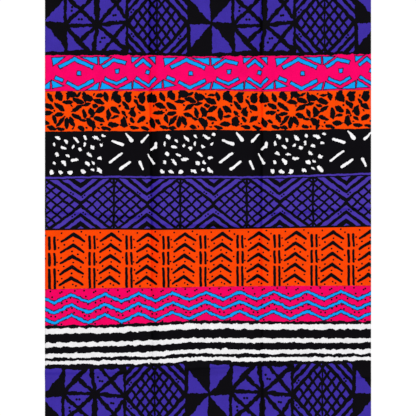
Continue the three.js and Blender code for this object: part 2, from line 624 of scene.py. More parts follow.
wovenCotton = {
    "threadPitch": 0.42,
    "mottle": 0.12, "mottleScale": 0.035, "mottleDetail": 3.0,  # how unevenly the dye took
    "grain": 0.13, "grainScale": 0.28, "grainDetail": 2.0,
    "slub": 0.07, "slubDetail": 2.0,
    "slubAlong": 0.06, "slubAcross": 1.1,  # noise scales along a thread and across it
    "creaseShadeDepth": 0.42,  # how much darker the painted crease shade makes the colour
    "creaseShadeDim": 0.02,
    "pressedGloss": 0.1,
    "roughness": 0.62, "slubRoughness": 0.08,
    "slubHeight": 0.6, "weaveHeight": 0.25,
    "bumpStrength": 0.35, "bumpDepth": 0.1,
    "specular": 0.012,
    "wrongSidePale": 0.14,
    "wrongSideTint": (0.5, 0.47, 0.46),
}


def buildWovenCotton():
    # everything that the weave does to the printed colour, with the painted shade and the lower roughness
    # along folds and creases
    values = wovenCotton
    tree, given = newGroup("wovenCotton", [("vector", ["Point"]), ("colour", ["Colour"]),
                                           ("float", ["Painted Crease Shade", "Wrong Side"])],
                           [("colour", ["Colour"]), ("float", ["Roughness", "Height"])])
    cloud = noiseAt(tree, given["Point"], values["mottleScale"], values["mottleDetail"])
    mottle = maths(tree, "MULTIPLY_ADD", cloud, values["mottle"] * 2, 1 - values["mottle"])
    speckle = noiseAt(tree, given["Point"], values["grainScale"], values["grainDetail"])
    grain = maths(tree, "MULTIPLY_ADD", speckle, values["grain"] * 2, 1 - values["grain"])
    along, across, detail = values["slubAlong"], values["slubAcross"], values["slubDetail"]
    wefts = noiseAt(tree, vectors(tree, "MULTIPLY", given["Point"], (along, across, 1)), 1.0, detail)
    warps = noiseAt(tree, vectors(tree, "MULTIPLY", given["Point"], (across, along, 1)), 1.0, detail)
    threads = maths(tree, "ADD", wefts, warps)
    slub = maths(tree, "MULTIPLY_ADD", threads, values["slub"], 1 - values["slub"])
    shade = maths(tree, "MULTIPLY", maths(tree, "MULTIPLY", mottle, grain), slub)
    # painted shade along folds and creases: the colour is dimmed and darkened by a gamma where the crease
    # shade is high
    shadeDim = maths(tree, "MULTIPLY_ADD", given["Painted Crease Shade"], -values["creaseShadeDim"], 1.0)
    colour = vectors(tree, "SCALE", given["Colour"], maths(tree, "MULTIPLY", shade, shadeDim))
    creaseShaded = tree.nodes.new("ShaderNodeGamma")
    feed(tree, creaseShaded.inputs["Color"], colour)
    shadeGamma = maths(tree, "MULTIPLY_ADD", given["Painted Crease Shade"], values["creaseShadeDepth"], 1.0)
    feed(tree, creaseShaded.inputs["Gamma"], shadeGamma)
    pale = maths(tree, "MULTIPLY", given["Wrong Side"], values["wrongSidePale"])
    colour = mix(tree, pale, creaseShaded.outputs[0], values["wrongSideTint"])
    x, y = split(tree, vectors(tree, "SCALE", given["Point"], math.pi / values["threadPitch"]))
    weave = maths(tree, "MULTIPLY", maths(tree, "SINE", x), maths(tree, "SINE", y))
    weaveHeight = maths(tree, "MULTIPLY", weave, values["weaveHeight"])
    height = maths(tree, "MULTIPLY_ADD", threads, values["slubHeight"], weaveHeight)
    roughness = maths(tree, "MULTIPLY_ADD", threads, values["slubRoughness"], values["roughness"])
    roughness = maths(tree, "MULTIPLY_ADD", given["Painted Crease Shade"], -values["pressedGloss"], roughness)
    closeGroup(tree, {"Colour": colour, "Roughness": roughness, "Height": height})


# inks and how shapes are drawn

inks = {
    "black": (0.004, 0.0035, 0.0049),
    "purple": (0.0626, 0.035, 0.356),
    "violet": (0.045, 0.026, 0.325),  # the two star bands took the dye deeper
    "pink": (0.86, 0.001, 0.121),
    "rose": (0.81, 0.001, 0.107),  # the pink of the zigzags took the dye deeper
    "tangerine": (0.89, 0.065, 0.0015),
    "orange": (0.88, 0.057, 0.0013),
    "blue": (0.003, 0.329, 0.83),
    "white": (0.79, 0.78, 0.795),
    "chalk": (0.86, 0.85, 0.865),  # the spots and rays, left whiter than the stripes
    "bruise": (0.028, 0.008, 0.04),  # where blue overlaps the edge of the pink
    "brick": (0.17, 0.008, 0.012),  # where pink meets orange
    "cotton": (0.70, 0.67, 0.60),  # the unprinted selvedge
}


def stroke(tree, point, start, end, startRadius, endRadius):
    along = (end[0] - start[0], end[1] - start[1], 0)
    values = {"Point": point, "From": (*start, 0), "Along": along, "Start Radius": startRadius,
              "End Radius": endRadius}
    return placeGroup(tree, "inkStroke", values)["Distance"]


def bar(tree, point, start, end, half):
    length = math.dist(start, end)
    along = ((end[0] - start[0]) / length, (end[1] - start[1]) / length, 0)
    middle = ((start[0] + end[0]) / 2, (start[1] + end[1]) / 2, 0)
    values = {"Point": point, "Middle": middle, "Along": along, "Across": (-along[1], along[0], 0),
              "Half Length": length / 2, "Half Width": half}
    return placeGroup(tree, "inkBar", values)["Distance"]


def wedge(tree, point, corners):
    turn = sum((b[0] - a[0]) * (b[1] + a[1]) for a, b in zip(corners, corners[1:] + corners[:1]))
    ordered = corners if turn < 0 else corners[::-1]
    values = {"Point": point}
    for label, a, b in zip(("First Edge", "Second Edge", "Third Edge"), ordered, ordered[1:] + ordered[:1]):
        length = math.dist(a, b)
        normal = ((b[1] - a[1]) / length, (a[0] - b[0]) / length)
        values[label] = (*normal, normal[0] * a[0] + normal[1] * a[1])
    return placeGroup(tree, "inkWedge", values)["Distance"]


def blob(tree, point, repeat, row):
    turn = math.radians(row["turn"])
    long, wide = 2 / row["long"], 2 / row["wide"]
    values = {"Point": point, "Centre": (row["x"], row["y"], 0), "Repeat": repeat,
              "Along": (math.cos(turn) * long, math.sin(turn) * long, 0),
              "Across": (-math.sin(turn) * wide, math.cos(turn) * wide, 0),
              "Half Width": row["wide"] / 2, "Roundness": row["roundness"]}
    return placeGroup(tree, "inkBlob", values)["Distance"]


def dot(tree, point, x, y, radius):
    return maths(tree, "SUBTRACT", vectors(tree, "DISTANCE", point, (x, y, 0)), radius)


def wander(tree, point, reach, length):
    return placeGroup(tree, "handDrawn", {"Point": point, "Reach": reach, "Length": length})["Point"]


def layInk(tree, point, distance, under, ink, ragged=0.5, spread=0.0):
    values = {"Point": point, "Distance": distance, "Under": under, "Ink": ink, "Ragged": ragged,
              "Spread": spread}
    return placeGroup(tree, "layInk", values)["Colour"]


def shifted(tree, point, x, y, flip=1):
    # the point measured from (x, y); flip -1 measures it downwards
    return vectors(tree, "MULTIPLY", vectors(tree, "SUBTRACT", point, (x, y, 0)), (1, flip, 0))


def wrapped(tree, point, low, high):
    return vectors(tree, "WRAP", point, (high, farAway, 1), (low, -farAway, -1))


def widened(tree, point, chart):
    # past wideFrom, towards one edge of the cloth, the repeat is a little wider than the others
    x, y = split(tree, point)
    share = chart["wideShare"]
    squeezed = maths(tree, "MULTIPLY_ADD", x, share, chart["wideFrom"] * (1 - share))
    inner = "MAXIMUM" if chart["wideFrom"] < 0 else "MINIMUM"
    return combine(tree, maths(tree, inner, x, squeezed), y)


# What stands in for a motif while a place is sought for it: a circle in its middle and a smaller one
# towards each end. The radii are shares of its width.
standIns = {"reach": 0.42, "circles": [(-1, 0.31), (0, 0.5), (1, 0.31)]}
sizeSpread = {"long": (0.84, 1.16), "wide": (0.86, 1.14)}


def threeCircles(row):
    turn = math.radians(row["turn"])
    reach = (row["long"] - row["wide"]) * standIns["reach"]
    toX, toY = reach * math.cos(turn), reach * math.sin(turn)
    return [
        (row["x"] + share * toX, row["y"] + share * toY, radius * row["wide"])
        for share, radius in standIns["circles"]
    ]


def tornCorner(row, lobe, dice):
    # a slim leaf that crosses a blob near one of its ends
    turn = math.radians(row["turn"])
    reach = row["long"] * lobe["reach"] * dice.choice((-1, 1))
    return {
        "x": row["x"] + reach * math.cos(turn),
        "y": row["y"] + reach * math.sin(turn),
        "turn": row["turn"] + dice.uniform(*lobe["turns"]),
        "long": row["long"] * dice.uniform(*lobe["long"]),
        "wide": row["wide"] * lobe["wide"],
        "roundness": lobe["roundness"],
    }


def openSpace(circles, others, repeat):
    return min(
        math.hypot((ax - bx + repeat / 2) % repeat - repeat / 2, ay - by) - ar - br
        for ax, ay, ar in circles for bx, by, br in others
    )


def scatterMotifs(chart, placed):
    # lays the motifs down kind by kind, each at the roomiest of a few places
    dice = random.Random(chart["seed"])
    taken = [circle for row in placed for circle in threeCircles(row)]
    motifs = []
    for kind in chart["kinds"].values():
        low, high = kind.get("rows", chart["rows"])
        for _ in range(kind["count"]):
            roomiest = None
            for _ in range(chart["tries"]):
                row = {
                    "x": dice.uniform(*chart["span"]),
                    "turn": dice.uniform(*kind["turns"]),
                    "long": kind["long"] * dice.uniform(*sizeSpread["long"]),
                    "wide": kind["wide"] * dice.uniform(*sizeSpread["wide"]),
                    "roundness": kind["roundness"],
                }
                steep = abs(math.sin(math.radians(row["turn"])))
                reach = max(row["wide"], row["long"] * steep) / 2
                row["y"] = dice.uniform(low + reach, high - reach)
                shapes = [row, tornCorner(row, kind["lobe"], dice)] if "lobe" in kind else [row]
                circles = [circle for shape in shapes for circle in threeCircles(shape)]
                space = openSpace(circles, taken, chart["repeat"])
                if roomiest is None or space > roomiest[0]:
                    roomiest = (space, shapes, circles)
            if roomiest[0] > kind["gap"]:
                motifs += roomiest[1]
                taken += roomiest[2]
    return motifs


# stars, lattice blocks and pinwheels

starBand = {
    "repeat": 470,
    # the edge that each row of stars is measured from, where its repeat starts, and which way up it stands
    "upper": {"edge": drawnFrom["strokes"], "start": -399.2, "flip": 1},
    "lower": {"edge": drawnFrom["lowerStars"], "start": -405.5, "flip": -1},
    "blocks": (172, 345),  # where the lattice and the pinwheel begin
    "postHalves": (3.6, 2.4, 3.2, 3.6),  # of the black posts before, between and after the blocks
    "firstPost": -1,
    "lowerEdges": (13, 6.5, 9),  # how deep the black border is below each block
    "wander": (3.1, 19), "calmWander": (2, 22),
    "inkSpread": 1.3, "ragged": 0.7,
    "hub": (89, 85),
    # spokes of the wheel, measured from its hub
    "spokes": [
        {"x": -2, "y": 90, "hub": 5, "tip": 9},
        {"x": -11, "y": -76, "hub": 4.2, "tip": 5.6},
        {"x": -90, "y": -3, "hub": 3.6, "tip": 4.8},
        {"x": 84, "y": 9, "hub": 4.8, "tip": 4.8},
        {"x": -92, "y": 84, "hub": 3.8, "tip": 5.2},
        {"x": 76, "y": 86, "hub": 3.8, "tip": 5},
        {"x": -46, "y": -42, "hub": 3.2, "tip": 5.2},
        {"x": 76, "y": -66, "hub": 3.8, "tip": 6.6},
    ],
    # the diamond that ties the spokes together
    "sides": [
        {"fromX": -86, "fromY": 6, "toX": 4, "toY": 92, "start": 4.4, "end": 5},
        {"fromX": -86, "fromY": -8, "toX": -30, "toY": -70, "start": 5, "end": 6.4},
        {"fromX": 82, "fromY": 8, "toX": 18, "toY": -70, "start": 4, "end": 4.2},
        {"fromX": 84, "fromY": 14, "toX": 55, "toY": 58, "start": 4, "end": 4.4},
        {"fromX": 55, "fromY": 58, "toX": 24, "toY": 92, "start": 4.6, "end": 5},
    ],
    "dots": [
        {"x": -52, "y": 16}, {"x": -44, "y": 16}, {"x": -72, "y": 40}, {"x": -71, "y": 50},
        {"x": 13, "y": -37}, {"x": 20, "y": -36}, {"x": 8, "y": -48},
        {"x": 45, "y": 27}, {"x": 51, "y": 28},
    ],
    "dotRadius": 2.2,
}

diamondBlock = {
    "centre": (256, 91),
    "halfWidth": 81, "halfHeight": 89,
    "cellWidth": 26.5, "cellHeight": 35,
    "line": 2.35, "spine": 1.1,
    "border": 0.13,
    "strips": [(1.228, 0.098), (1.53, 0.084), (1.87, 0.09)],  # middle and half width, in diamonds
    "dots": [{"x": -72, "y": 30}, {"x": -66, "y": 37}, {"x": -71, "y": -31}, {"x": -66, "y": -38},
             {"x": 61, "y": -43}, {"x": 66, "y": -36}],
    "dotRadius": 1.7,
}

pinwheel = {
    "centre": (408, 91),
    "lean": 0.88,
    "line": 1.7,
    "inside": 5,  # how far a point counts as inside or outside a sail
}


def drawDiamonds(tree, point, steady, chart):
    # small diamonds inside one large diamond, and strips that run beside its four sides
    x, y = split(tree, point)
    wide, high = chart["halfWidth"], chart["halfHeight"]
    cellWide, cellHigh = chart["cellWidth"], chart["cellHeight"]
    sideX = maths(tree, "ABSOLUTE", x)
    reach = maths(tree, "MULTIPLY_ADD", maths(tree, "ABSOLUTE", y), 1 / high,
                  maths(tree, "MULTIPLY", sideX, 1 / wide))
    cellX, cellY = maths(tree, "MULTIPLY", x, 1 / cellWide), maths(tree, "MULTIPLY", y, 1 / cellHigh)
    rising = maths(tree, "PINGPONG", maths(tree, "ADD", cellX, cellY), 0.5)
    falling = maths(tree, "PINGPONG", maths(tree, "SUBTRACT", cellX, cellY), 0.5)
    cellSpan = 1 / math.hypot(1 / cellWide, 1 / cellHigh)
    lines = maths(tree, "MULTIPLY_ADD", maths(tree, "MINIMUM", rising, falling), cellSpan, -chart["line"])
    inside = maths(tree, "MINIMUM", lines, maths(tree, "SUBTRACT", sideX, chart["spine"]))

    reachSpan = 1 / math.hypot(1 / wide, 1 / high)
    strips = nearest(tree, (beyondStrip(tree, reach, middle, half) for middle, half in chart["strips"]))
    outside = maths(tree, "MULTIPLY", strips, -reachSpan)  # below zero off the strips
    halfBorder = chart["border"] / 2
    beyond = maths(tree, "GREATER_THAN", reach, 1 + halfBorder)
    total = ramp(tree, beyond, 0.0, 1.0, inside, outside)
    border = maths(tree, "MULTIPLY", beyondStrip(tree, reach, 1 + halfBorder, halfBorder), reachSpan)
    total = maths(tree, "MINIMUM", total, border)
    for row in chart["dots"]:
        total = maths(tree, "MINIMUM", total, dot(tree, steady, row["x"], row["y"], chart["dotRadius"]))
    return total


def starShapes(tree, drawn, steady):
    chart = starBand
    hubX, hubY = chart["hub"]
    for row in chart["spokes"]:
        tip = (hubX + row["x"], hubY + row["y"])
        yield stroke(tree, drawn, chart["hub"], tip, row["hub"], row["tip"])
    for row in chart["sides"]:
        start = (hubX + row["fromX"], hubY + row["fromY"])
        end = (hubX + row["toX"], hubY + row["toY"])
        yield stroke(tree, drawn, start, end, row["start"], row["end"])
    for row in chart["dots"]:
        yield dot(tree, steady, hubX + row["x"], hubY + row["y"], chart["dotRadius"])


def drawPinwheel(tree, point):
    # eight sails, each below zero or above it by turns, and the thin cross between them
    x, y = split(tree, shifted(tree, point, *pinwheel["centre"]))
    leanY = maths(tree, "MULTIPLY", y, pinwheel["lean"])
    squares = maths(tree, "MULTIPLY", maths(tree, "ADD", x, leanY), maths(tree, "SUBTRACT", x, leanY))
    turn = maths(tree, "MULTIPLY", maths(tree, "MULTIPLY", x, y), squares)
    sails = maths(tree, "MULTIPLY", maths(tree, "SIGN", turn), pinwheel["inside"])
    cross = maths(tree, "MINIMUM", maths(tree, "ABSOLUTE", x), maths(tree, "ABSOLUTE", y))
    return maths(tree, "MINIMUM", sails, maths(tree, "SUBTRACT", cross, pinwheel["line"]))


def drawStars(tree, point, place):
    chart = starBand
    measured = shifted(tree, point, place["start"], place["edge"], place["flip"])
    local = wrapped(tree, measured, 0, chart["repeat"])
    drawn = wander(tree, local, *chart["wander"])
    x, y = split(tree, drawn)
    starEdge, diamondEdge, sailEdge = chart["lowerEdges"]
    star = nearest(tree, starShapes(tree, drawn, local))
    star = maths(tree, "MINIMUM", star, maths(tree, "SUBTRACT", y, starEdge))

    centred = shifted(tree, wander(tree, local, *chart["calmWander"]), *diamondBlock["centre"])
    steady = shifted(tree, local, *diamondBlock["centre"])
    diamonds = drawDiamonds(tree, centred, steady, diamondBlock)
    diamonds = maths(tree, "MINIMUM", diamonds, maths(tree, "SUBTRACT", y, diamondEdge))
    sails = maths(tree, "MINIMUM", drawPinwheel(tree, drawn), maths(tree, "SUBTRACT", y, sailEdge))

    diamondStart, sailStart = chart["blocks"]
    ink = ramp(tree, maths(tree, "GREATER_THAN", x, diamondStart), 0.0, 1.0, star, diamonds)
    ink = ramp(tree, maths(tree, "GREATER_THAN", x, sailStart), 0.0, 1.0, ink, sails)
    posts = (chart["firstPost"], *chart["blocks"], chart["repeat"])
    for at, half in zip(posts, chart["postHalves"]):
        ink = maths(tree, "MINIMUM", ink, beyondStrip(tree, x, at, half))
    return layInk(tree, point, ink, inks["violet"], inks["black"], chart["ragged"], chart["inkSpread"])


# blue strokes on pink

strokeBand = {
    "repeat": 313.6,
    "start": -441.8,
    "top": drawnFrom["strokes"],
    "seam": 1.6,  # where one repeat ends and the next begins
    "wander": (1.5, 17),
    "overlapWander": (2.7, 24), "overlap": 0.8,  # the black of the stars reaches over the pink
    "bruise": 2.3,  # how far the darker rim reaches past the blue
    "core": -0.4,
    "crossing": 0.5,  # the two arms of a chevron cross at its peak by this share of their half thickness
    # The peak of a chevron, its two ends and half its thickness. All shapes are measured right and down
    # from the repeat's corner.
    "chevrons": [
        {"left": (25, 33), "peak": (67, 11), "right": (119, 34), "half": 4.7},
        {"left": (147, 33), "peak": (179, 13), "right": (211, 22), "half": 4.4},
        {"left": (238, 31), "peak": (261, 13), "right": (282, 32), "half": 4},
        {"left": (47, 75), "peak": (77, 92), "right": (121, 70), "half": 4.3},
        {"left": (152, 65), "peak": (185, 79), "right": (214, 64), "half": 3.5},
        {"left": (239, 62), "peak": (275, 84), "right": (296, 63), "half": 3.4},
    ],
    "dashes": [{"left": (13, 61), "right": (35, 70), "half": 4.2}],
    "wedges": [
        ((4, 8), (39, 6), (6.5, 29)),
        ((89, 6.5), (131.5, 5.5), (131.5, 25)),
        ((137, 6), (168, 5.5), (138.5, 26)),
        ((227, 5.5), (250, 5.5), (229, 20)),
        ((277, 5.5), (294.5, 5.5), (294, 22)),
        ((3.5, 69), (35, 84), (5.5, 91)),
        ((103, 95.5), (136, 76), (133, 95.5)),
        ((139.5, 95), (144, 74.5), (178, 92)),
        ((189, 94), (227.5, 75), (226, 94.5)),
        ((230.5, 92), (234, 72), (264, 92)),
        ((284, 93), (312.5, 72), (311.5, 91)),
    ],
    "squares": [
        {"x": 80, "y": 50, "half": 4.8, "turn": 4},
        {"x": 187, "y": 44, "half": 4.8, "turn": -3},
        {"x": 272, "y": 47, "half": 4.8, "turn": 12},
    ],
}


def strokeShapes(tree, drawn):
    chart = strokeBand
    for row in chart["chevrons"]:
        for end in ("left", "right"):
            over = row["half"] * chart["crossing"] / math.dist(row["peak"], row[end])
            start = [p - (e - p) * over for p, e in zip(row["peak"], row[end])]
            yield bar(tree, drawn, start, row[end], row["half"])
    for row in chart["dashes"]:
        yield bar(tree, drawn, row["left"], row["right"], row["half"])
    for corners in chart["wedges"]:
        yield wedge(tree, drawn, list(corners))
    for row in chart["squares"]:
        turn = math.radians(row["turn"])
        x, y = row["half"] * math.cos(turn), row["half"] * math.sin(turn)
        yield bar(tree, drawn, (row["x"] - x, row["y"] - y), (row["x"] + x, row["y"] + y), row["half"])


def drawStrokes(tree, point):
    chart = strokeBand
    measured = shifted(tree, point, chart["start"], chart["top"], -1)
    local = wrapped(tree, measured, chart["seam"], chart["repeat"] + chart["seam"])
    shapes = nearest(tree, strokeShapes(tree, wander(tree, local, *chart["wander"])))
    colour = layInk(tree, point, shapes, inks["pink"], inks["bruise"], spread=chart["bruise"])
    colour = layInk(tree, point, shapes, colour, inks["blue"], spread=chart["core"])
    edge = split(tree, wander(tree, local, *chart["overlapWander"]))[1]
    overlap = maths(tree, "SUBTRACT", edge, chart["overlap"])
    return layInk(tree, point, overlap, colour, inks["black"])


# black leaves on orange

tornLobe = {"reach": 0.24, "turns": (60, 110), "long": (0.85, 1.05), "wide": 0.62, "roundness": 1.3}
lowLobe = {"reach": 0.26, "turns": (50, 120), "long": (0.8, 1.05), "wide": 0.55, "roundness": 1.3}
leafBand = {
    "repeat": 314,
    "start": -448.8,
    "top": drawnFrom["leaves"],
    "height": 112.2,
    "wander": (2.6, 18),
    "inkSpread": 0.3, "ragged": 1.1,
    "edgeWander": (1.3, 30), "edgeRagged": 0.6,
    "border": 1.4,  # how far the black below reaches over the orange
    "seam": 0.9,
    # rosettes: petals fan out round an open middle, from one turn to the other, evenly but for the dice
    "rosettes": [
        {"x": 56, "y": 62, "petals": 7, "fan": (-24, 218), "hollow": 10, "long": 35, "wide": 14},
        {"x": 168, "y": 40, "petals": 5, "fan": (40, 254), "hollow": 9, "long": 34, "wide": 14.5},
        {"x": 283, "y": 62, "petals": 4, "fan": (-10, 208), "hollow": 12, "long": 33, "wide": 14},
    ],
    "petal": {"turns": (-8, 8), "long": (0.82, 1.15), "wide": (0.85, 1.15), "roundness": 1.3},
    "seed": 7, "tries": 40,
    "rows": (4, 107),
    "span": (0, 314),
    "kinds": {
        "torn blob": {"count": 7, "long": 35, "wide": 21, "gap": 0.4, "turns": (0, 85), "roundness": 1.4,
                      "rows": (1, 37), "lobe": tornLobe},
        "low blob": {"count": 4, "long": 32, "wide": 19, "gap": 1.2, "turns": (40, 120), "roundness": 1.4,
                     "rows": (30, 104), "lobe": lowLobe},
        "edge leaf": {"count": 6, "long": 24, "wide": 11, "gap": 1.8, "turns": (0, 22), "roundness": 1.8,
                      "rows": (95, 110)},
        "leaf": {"count": 13, "long": 33, "wide": 13.5, "gap": 2.4, "turns": (-10, 80), "roundness": 1.3},
        "small leaf": {"count": 12, "long": 21, "wide": 10.5, "gap": 2.4, "turns": (-60, 80),
                       "roundness": 1.3},
        "fleck": {"count": 14, "long": 7.5, "wide": 5.5, "gap": 2.4, "turns": (-60, 60), "roundness": 2},
    },
}


def petals(rosette, petal, dice):
    low, high = rosette["fan"]
    for k in range(rosette["petals"]):
        turn = low + (high - low) * k / (rosette["petals"] - 1) + dice.uniform(*petal["turns"])
        long = rosette["long"] * dice.uniform(*petal["long"])
        reach = rosette["hollow"] + long / 2
        yield {
            "x": rosette["x"] + reach * math.cos(math.radians(turn)),
            "y": rosette["y"] + reach * math.sin(math.radians(turn)),
            "turn": turn,
            "long": long,
            "wide": rosette["wide"] * dice.uniform(*petal["wide"]),
            "roundness": petal["roundness"],
        }


def leafMotifs():
    chart = leafBand
    dice = random.Random(chart["seed"] + 1)
    motifs = [petal for rosette in chart["rosettes"] for petal in petals(rosette, chart["petal"], dice)]
    hollows = [
        {"x": row["x"], "y": row["y"], "turn": 0, "long": 2 * row["hollow"], "wide": 2 * row["hollow"]}
        for row in chart["rosettes"]
    ]
    motifs += scatterMotifs(chart, motifs + hollows)
    print("leaf band:", len(motifs), "motifs in a repeat")
    return motifs


def drawLeaves(tree, point):
    chart = leafBand
    local = shifted(tree, point, chart["start"], chart["top"], -1)
    drawn = wander(tree, local, *chart["wander"])
    leaves = nearest(tree, (blob(tree, drawn, chart["repeat"], row) for row in leafMotifs()))
    ragged, spread = chart["ragged"], chart["inkSpread"]
    colour = layInk(tree, point, leaves, inks["tangerine"], inks["black"], ragged, spread)
    y = split(tree, wander(tree, local, *chart["edgeWander"]))[1]
    border = maths(tree, "SUBTRACT", chart["height"] - chart["border"], y)
    colour = layInk(tree, point, border, colour, inks["black"], chart["edgeRagged"])
    return layInk(tree, point, maths(tree, "SUBTRACT", y, chart["seam"]), colour, inks["brick"])


# white spots and ray bursts on black

spotBand = {
    "repeat": 309.6,
    "start": -450,
    "top": drawnFrom["spots"],
    "clearStart": 4,  # no ray of an earlier repeat reaches over the left edge
    "wideFrom": 340, "wideShare": 0.94,
    "wander": (2.7, 10), "rayWander": (1.2, 16),
    "inkSpread": -0.75, "ragged": 1.0,
    "seed": 21, "tries": 30,
    "rows": (4, 121),
    "span": (10, 182),
    "kinds": {
        "long spot": {"count": 9, "long": 21, "wide": 10, "gap": 4, "turns": (-5, 50), "roundness": 1.6},
        "round spot": {"count": 10, "long": 15, "wide": 10, "gap": 4, "turns": (-30, 70), "roundness": 1.7},
        "small spot": {"count": 9, "long": 11.5, "wide": 8, "gap": 4, "turns": (-90, 90), "roundness": 2},
    },
    "burst": (246, 56),
    "clearing": {"x": 239, "y": 58, "turn": 0, "long": 144, "wide": 144},  # no spots here
    # rays of the burst: where each starts and ends, by turn and distance, and its two half thicknesses
    "rays": [
        {"turn": 153, "near": 41, "turnOut": 156, "far": 70, "start": 5.2, "end": 3.9},
        {"turn": 109, "near": 33, "turnOut": 117, "far": 57, "start": 6.4, "end": 2.4},
        {"turn": 56, "near": 33, "turnOut": 52, "far": 59, "start": 4.6, "end": 2.6},
        {"turn": 6, "near": 45, "turnOut": 13, "far": 57, "start": 3.4, "end": 4.2},
        {"turn": 11, "near": 58, "turnOut": 21, "far": 62, "start": 4.4, "end": 4.6},
        {"turn": -13, "near": 37, "turnOut": -33, "far": 61, "start": 2.3, "end": 4.2},
        {"turn": -67, "near": 32, "turnOut": -67, "far": 54, "start": 4.4, "end": 3.6},
        {"turn": -116, "near": 34, "turnOut": -129, "far": 65, "start": 4, "end": 5},
        {"turn": 190, "near": 39, "turnOut": 204, "far": 78, "start": 3.9, "end": 4},
    ],
}


def spotShapes(tree, local, spots):
    chart = spotBand
    drawn = wander(tree, local, *chart["wander"])
    for row in spots:
        yield blob(tree, drawn, chart["repeat"], row)
    steady = wander(tree, local, *chart["rayWander"])
    centred = shifted(tree, steady, *chart["burst"], -1)
    middle = wrapped(tree, centred, -chart["repeat"] / 2, chart["repeat"] / 2)
    for row in chart["rays"]:
        inner, outer = math.radians(row["turn"]), math.radians(row["turnOut"])
        start = (row["near"] * math.cos(inner), row["near"] * math.sin(inner))
        end = (row["far"] * math.cos(outer), row["far"] * math.sin(outer))
        yield stroke(tree, middle, start, end, row["start"], row["end"])


def drawSpots(tree, point):
    chart = spotBand
    local = shifted(tree, widened(tree, point, chart), chart["start"], chart["top"], -1)
    spots = scatterMotifs(chart, [chart["clearing"]])
    print("spot band:", len(spots), "spots in a repeat")
    shapes = nearest(tree, spotShapes(tree, local, spots))
    before = maths(tree, "SUBTRACT", chart["clearStart"], split(tree, local)[0])
    clear = maths(tree, "MAXIMUM", shapes, before)
    return layInk(tree, point, clear, inks["black"], inks["chalk"], chart["ragged"], chart["inkSpread"])


# purple lattice on black

latticeBand = {
    "repeat": 186.2,
    "start": -264,
    "middle": 12,
    "wander": (1.7, 24),
    "inkSpread": 0.6, "ragged": 0.7,
    "wideFrom": -360, "wideShare": 0.93,
    "halfWidth": 93, "halfHeight": 71,
    "cellWidth": 31, "cellHeight": 27.6,
    "line": 2.4, "spine": 2.6,
    "border": 0.085,
    "strips": [(1.225, 0.105), (1.555, 0.09), (1.92, 0.09)],
    "upperEdge": 71, "lowerEdge": 66.5,
    "dots": [{"x": -88, "y": 21}, {"x": -82, "y": 26}, {"x": 67, "y": 34}, {"x": 73, "y": 30},
             {"x": -86, "y": -22}, {"x": -80, "y": -27}, {"x": 71, "y": -33}, {"x": 78, "y": -28}],
    "dotRadius": 2,
    "rail": {"at": 88.6, "half": 3.2},  # the thin purple line above the lattice
}


def latticePlace(tree, point):
    chart = latticeBand
    half = chart["repeat"] / 2
    measured = shifted(tree, widened(tree, point, chart), chart["start"], chart["middle"])
    return wrapped(tree, measured, -half, half)


def drawLattice(tree, point):
    chart = latticeBand
    drawn = wander(tree, point, *chart["wander"])
    local = latticePlace(tree, drawn)
    total = drawDiamonds(tree, local, latticePlace(tree, point), chart)
    y = split(tree, local)[1]
    total = maths(tree, "MINIMUM", total, maths(tree, "SUBTRACT", chart["upperEdge"], y))
    total = maths(tree, "MINIMUM", total, maths(tree, "ADD", chart["lowerEdge"], y))
    away = maths(tree, "ABSOLUTE", maths(tree, "SUBTRACT", split(tree, drawn)[1], chart["rail"]["at"]))
    total = maths(tree, "MAXIMUM", total, maths(tree, "SUBTRACT", chart["rail"]["half"], away))
    return layInk(tree, point, total, inks["purple"], inks["black"], chart["ragged"], chart["inkSpread"])


# black chevrons and bars on orange

chevronBand = {
    "repeat": 103.8,
    "start": -374.8,
    "left": -43.5,  # where a cell begins, from its peak
    "top": drawnFrom["chevrons"],
    "wander": (1.2, 28),
    "inkSpread": 0.4, "ragged": 0.6,
    "wideFrom": -355, "wideShare": 0.9,
    "rows": 5, "rowStep": 30.1, "firstPeak": 12,
    "halfWidth": 28.7, "drop": 19.3,
    "peakHalf": 4.8, "tipHalf": 2.9,
    "lean": 0.041,  # each row's peak stands a little left of the one above
    "bars": [{"x": 42.2, "half": 3.4}, {"x": 55.6, "half": 3.1}],
    "barRuns": [(19.5, 52), (65, 96), (108.5, 160)],
    "barLean": 1,
    "dotRadius": 2.2,
    "dots": [
        {"x": -31, "y": 8}, {"x": 20, "y": 5}, {"x": 33, "y": 14}, {"x": -39, "y": 27},
        {"x": 1, "y": 30}, {"x": -22, "y": 40}, {"x": 24, "y": 42}, {"x": -36, "y": 49},
        {"x": -2, "y": 59}, {"x": 14, "y": 67}, {"x": -28, "y": 76}, {"x": 35, "y": 78},
        {"x": -38, "y": 89}, {"x": 3, "y": 90}, {"x": -20, "y": 101}, {"x": 22, "y": 103},
        {"x": -34, "y": 112}, {"x": 0, "y": 120}, {"x": 28, "y": 131}, {"x": -24, "y": 134},
        {"x": -35, "y": 142}, {"x": 4, "y": 151}, {"x": -18, "y": 158}, {"x": 12, "y": 155},
    ],
}


def chevronShapes(tree, upright):
    chart = chevronBand
    for row in chart["bars"]:
        for low, high in chart["barRuns"]:
            top, foot = (row["x"], low), (row["x"] + chart["barLean"], high)
            yield stroke(tree, upright, top, foot, row["half"], row["half"])
    x, y = split(tree, upright)
    leaning = combine(tree, maths(tree, "MULTIPLY_ADD", y, chart["lean"], x), y)
    for row in chart["dots"]:
        yield dot(tree, leaning, row["x"], row["y"], chart["dotRadius"])
    folded = vectors(tree, "ABSOLUTE", leaning)  # both arms of a chevron at once
    for k in range(chart["rows"]):
        peak = chart["firstPeak"] + k * chart["rowStep"]
        tip = (chart["halfWidth"], peak + chart["drop"])
        yield stroke(tree, folded, (0, peak), tip, chart["peakHalf"], chart["tipHalf"])


